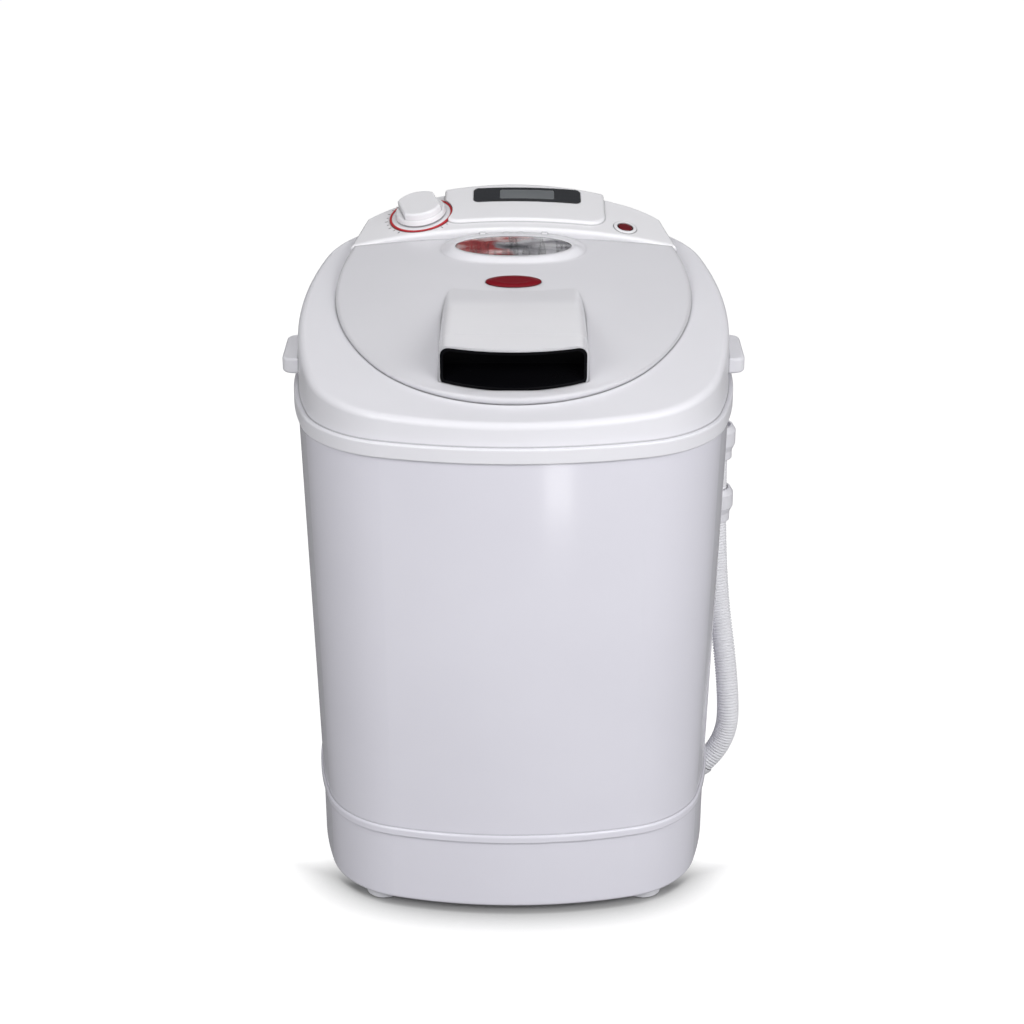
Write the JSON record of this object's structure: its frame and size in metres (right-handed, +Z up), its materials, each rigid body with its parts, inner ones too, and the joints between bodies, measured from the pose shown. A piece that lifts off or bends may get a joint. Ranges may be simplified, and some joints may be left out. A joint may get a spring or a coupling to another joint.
{
  "type": "mini washing machine",
  "caption": "Compact top-loading washing machine with a tapered body, sloped lid with finger grip, timer dial, belt-driven pulsator and a ribbed drain hose clipped to its side.",
  "frame": {"origin": "on the floor under the centre of the body", "axes": "+Z up, -Y towards the front with the finger grip, +X to the right seen from the front, where the drain hose is"},
  "size_m": [0.4122, 0.3702, 0.5653],
  "materials": {
    "white_gloss": "moulded white plastic, glossy",
    "white_shell": "moulded white plastic, soft gloss",
    "black_gloss": "black plastic, polished",
    "dark_panel": "dark display strip, glossy",
    "grey_insert": "grey display insert, satin",
    "red_badge": "dark red plastic, domed and clear coated",
    "red_ring": "printed red ring, satin",
    "red_lens": "dark red lamp lens",
    "window_print": "printed backing, satin",
    "clear_lens": "clear domed lens",
    "hose_grey": "ribbed light grey hose, satin",
    "foot_rubber": "grey rubber",
    "seal_rubber": "black rubber",
    "tub_plastic": "moulded polypropylene, satin",
    "steel": "turned steel",
    "zinc_steel": "zinc plated steel",
    "motor_paint": "dark enamel",
    "alloy": "cast aluminium",
    "bronze": "sintered bronze",
    "cap_can": "drawn aluminium can",
    "wire_sleeve": "black sleeving"
  },
  "bodies": {
    "chassis": {"rubber_feet": "foot_rubber", "base_housing": "white_shell", "bottom_cover": "tub_plastic", "bottom_screws": "zinc_steel", "cord_gland": "white_shell", "outer_shell": "white_shell", "top_cover": "white_gloss", "mouth_ring": "tub_plastic", "cover_screws": "zinc_steel", "side_handle_left": "white_gloss", "side_handle_right": "white_gloss", "hinge_pins": "steel", "console_cover": "white_gloss", "display_panel": "dark_panel", "display_insert": "grey_insert", "dial_plate": "white_shell", "dial_ring": "red_ring", "timer_body": "tub_plastic", "timer_nut": "zinc_steel", "indicator_bezel": "white_gloss", "indicator_lens": "red_lens", "indicator_lamp": "tub_plastic", "wash_tub": "tub_plastic", "tub_gasket": "seal_rubber", "bearing_housing": "alloy", "bearing_screws": "zinc_steel", "bearing_bushes": "bronze", "shaft_seal": "seal_rubber", "drive_belt": "seal_rubber", "motor_body": "motor_paint", "motor_bracket": "zinc_steel", "motor_bolts": "zinc_steel", "capacitor": "cap_can", "capacitor_strap": "zinc_steel", "drain_pipe": "tub_plastic", "outlet_elbow": "hose_grey", "drain_hose": "hose_grey", "hose_clip_lower": "white_gloss", "hose_clip_upper": "white_gloss", "wiring_harness": "wire_sleeve"},
    "lid": {"lid_shell": "white_gloss", "lid_handle_cup": "black_gloss", "lid_window_print": "window_print", "lid_window_lens": "clear_lens", "lid_badge": "red_badge"},
    "knob": {"timer_knob": "white_gloss", "timer_shaft": "steel"},
    "drive": {"pulsator": "tub_plastic", "pulsator_screw": "steel", "drive_shaft": "steel", "drive_pulley": "tub_plastic", "pulley_nut": "zinc_steel"},
    "rotor": {"motor_shaft": "steel", "motor_pulley": "alloy"}
  },
  "joints": [
    {"name": "lid_hinge", "type": "hinge", "parent": "chassis", "child": "lid", "pos_m": [0, 0.09989, 0.53579], "axis": [-1, 0, 0], "range_deg": [0, 76]},
    {"name": "knob_turn", "type": "hinge", "parent": "chassis", "child": "knob", "pos_m": [-0.084, 0.13839, 0.54627], "axis": [0.14, 0.2432, -0.9598], "range_deg": [0, 300]},
    {"name": "pulsator_spin", "type": "hinge", "parent": "chassis", "child": "drive", "pos_m": [0, -0.012, 0.16], "axis": [0, 0, 1], "continuous": true},
    {"name": "motor_spin", "type": "hinge", "parent": "chassis", "child": "rotor", "pos_m": [0, 0.1, 0.12], "axis": [0, 0, 1], "continuous": true}
  ],
  "couplings": [
    {"joint": "motor_spin", "follows": "pulsator_spin", "ratio": 4.4667}
  ]
}
